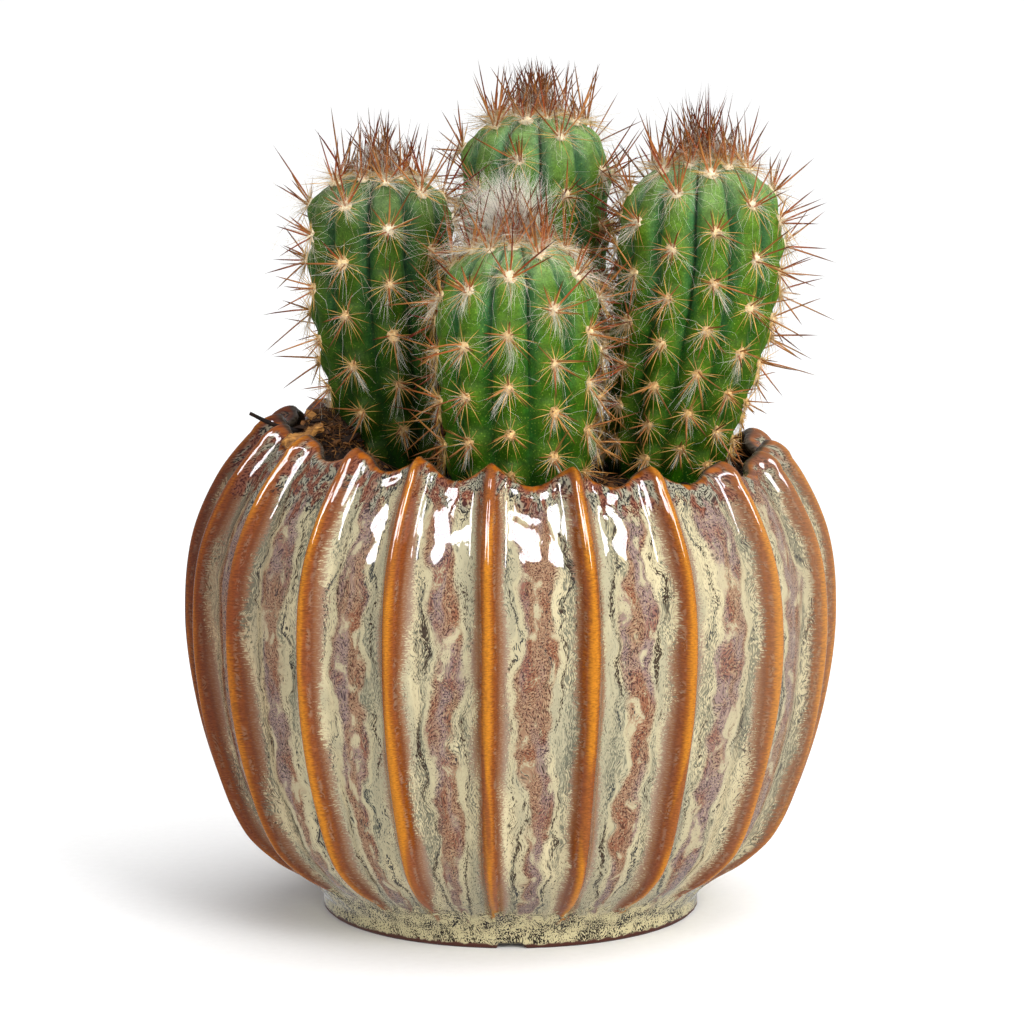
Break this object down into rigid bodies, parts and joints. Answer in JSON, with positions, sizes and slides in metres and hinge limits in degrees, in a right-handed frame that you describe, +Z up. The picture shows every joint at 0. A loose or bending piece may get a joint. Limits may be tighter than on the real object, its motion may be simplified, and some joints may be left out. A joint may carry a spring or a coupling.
{
  "type": "potted xique xique cactus",
  "caption": "Young columnar cactus stems, ribbed and spiny, in soil in a round ribbed glazed pot with a scalloped rim.",
  "frame": {"origin": "on the pot's axis at the underside of its foot ring", "axes": "+Z up; -Y is the front, towards the picture's camera; +X to its right"},
  "size_m": [0.1811, 0.181, 0.2357],
  "materials": {
    "glazed_stoneware": "glossy reactive glaze, amber on the rib crests and cream, grey-green and rust brown between them",
    "potting_soil": "dark brown fibrous potting mix",
    "bark": "dry tan bark, split",
    "dry_twig": "dark dry twig",
    "cactus_flesh": "green ribbed cactus skin with cream wool areoles and straw to red-brown spines"
  },
  "bodies": {
    "root": {"pot": "glazed_stoneware", "soil": "potting_soil", "bark_chip": "bark", "twig": "dry_twig", "stem_left": "cactus_flesh", "stem_front": "cactus_flesh", "stem_right": "cactus_flesh", "stem_back": "cactus_flesh"}
  },
  "joints": []
}
